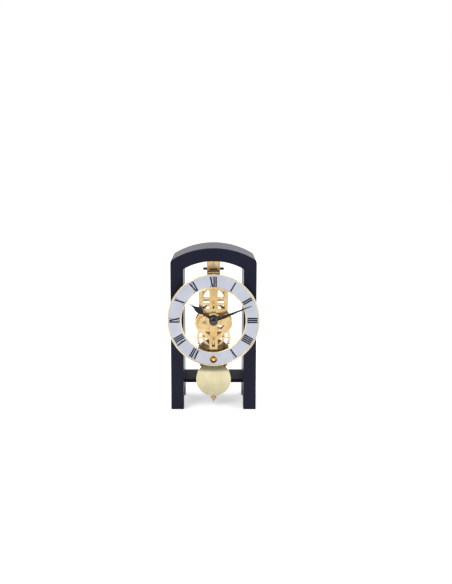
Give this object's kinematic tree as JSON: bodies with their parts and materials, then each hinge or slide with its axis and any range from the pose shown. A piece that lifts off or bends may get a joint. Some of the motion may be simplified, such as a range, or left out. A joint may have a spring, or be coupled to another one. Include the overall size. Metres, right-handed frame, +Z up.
{
  "type": "table clock",
  "caption": "Arched table clock: a painted wooden portal carries an open brass movement, a floating Roman dial ring with hands, and a swinging lens pendulum.",
  "frame": {"origin": "on the table, under the middle of the clock's bounding box", "axes": "+Z up, -Y out of the dial towards the viewer, +X to the viewer's right"},
  "size_m": [0.142, 0.1366, 0.257],
  "materials": {
    "navy_lacquer": "satin lacquer",
    "brass": "polished",
    "pale_brass": "polished, pale",
    "bell_brass": "polished, darkened",
    "dial_silver": "satin silver-white",
    "hand_black": "satin black",
    "steel": "bright",
    "dark_steel": "blackened"
  },
  "bodies": {
    "base": {"case_frame": "navy_lacquer", "shelf": "navy_lacquer", "hanger_bracket": "brass", "cross_bar": "dark_steel", "suspension_pin": "steel", "front_plate": "brass", "back_plate": "brass", "pillar_1": "brass", "pillar_2": "brass", "pillar_3": "brass", "pillar_4": "brass", "pillar_nut_1": "brass", "pillar_nut_2": "brass", "pillar_nut_3": "brass", "pillar_nut_4": "brass", "dial_foot_1": "brass", "dial_foot_2": "brass", "dial_foot_3": "brass", "dial_foot_4": "brass", "dial_ring": "dial_silver", "minute_stud": "steel", "click_screw": "steel", "click_spring": "steel", "bell": "bell_brass", "bell_post": "brass", "bell_nut": "brass"},
    "centre": {"centre_arbor": "steel", "centre_wheel": "brass", "cannon_pinion": "steel", "minute_hand": "hand_black", "hand_nut": "hand_black"},
    "hour": {"hour_wheel": "brass", "hour_hand": "hand_black"},
    "minute": {"minute_wheel": "brass"},
    "intermediate": {"intermediate_arbor": "steel", "intermediate_wheel": "brass", "intermediate_gear": "brass"},
    "barrel": {"great_wheel": "brass", "barrel_drum": "brass", "barrel_cap": "brass", "mainspring": "steel"},
    "third": {"third_arbor": "steel", "third_wheel": "brass"},
    "escape": {"escape_arbor": "steel", "escape_wheel": "brass"},
    "anchor": {"anchor": "steel", "anchor_arbor": "steel", "crutch": "brass"},
    "pendulum": {"pendulum_rod": "brass", "bob": "pale_brass", "rating_nut": "brass"},
    "winding": {"winding_arbor": "steel", "ratchet_wheel": "steel"},
    "click": {"click": "steel"}
  },
  "joints": [
    {"name": "centre_turn", "type": "hinge", "parent": "base", "child": "centre", "pos_m": [0, -0.03475, 0.149], "axis": [0, 1, 0], "continuous": true},
    {"name": "hour_turn", "type": "hinge", "parent": "base", "child": "hour", "pos_m": [0, -0.03475, 0.149], "axis": [0, 1, 0], "continuous": true},
    {"name": "minute_turn", "type": "hinge", "parent": "base", "child": "minute", "pos_m": [-0.01353, -0.03475, 0.14408], "axis": [0, 1, 0], "continuous": true},
    {"name": "intermediate_turn", "type": "hinge", "parent": "base", "child": "intermediate", "pos_m": [0, -0.03475, 0.11901], "axis": [0, 1, 0], "continuous": true},
    {"name": "barrel_turn", "type": "hinge", "parent": "base", "child": "barrel", "pos_m": [0, -0.03475, 0.0878], "axis": [0, 1, 0], "continuous": true},
    {"name": "third_turn", "type": "hinge", "parent": "base", "child": "third", "pos_m": [0, -0.03475, 0.175], "axis": [0, 1, 0], "continuous": true},
    {"name": "escape_turn", "type": "hinge", "parent": "base", "child": "escape", "pos_m": [0, -0.03475, 0.1984], "axis": [0, 1, 0], "continuous": true},
    {"name": "pendulum_swing", "type": "hinge", "parent": "base", "child": "pendulum", "pos_m": [0, -0.03475, 0.21739], "axis": [0, 1, 0], "range_deg": [-4, 4]},
    {"name": "anchor_rock", "type": "hinge", "parent": "base", "child": "anchor", "pos_m": [0, -0.03475, 0.21739], "axis": [0, 1, 0], "range_deg": [-4, 4]},
    {"name": "winding_turn", "type": "hinge", "parent": "base", "child": "winding", "pos_m": [0, -0.03475, 0.0878], "axis": [0, 1, 0], "continuous": true},
    {"name": "click_lift", "type": "hinge", "parent": "base", "child": "click", "pos_m": [0.01456, -0.03475, 0.0931], "axis": [0, 1, 0], "range_deg": [-12, 0], "stiffness_Nm_per_rad": 0.0005, "springref_deg": 17.19}
  ],
  "couplings": [
    {"joint": "hour_turn", "follows": "centre_turn", "ratio": 0.083333},
    {"joint": "minute_turn", "follows": "centre_turn", "ratio": -0.33333},
    {"joint": "intermediate_turn", "follows": "centre_turn", "ratio": -0.125},
    {"joint": "barrel_turn", "follows": "centre_turn", "ratio": 0.16667},
    {"joint": "third_turn", "follows": "centre_turn", "ratio": -10},
    {"joint": "escape_turn", "follows": "centre_turn", "ratio": 120},
    {"joint": "anchor_rock", "follows": "pendulum_swing", "ratio": 1}
  ]
}
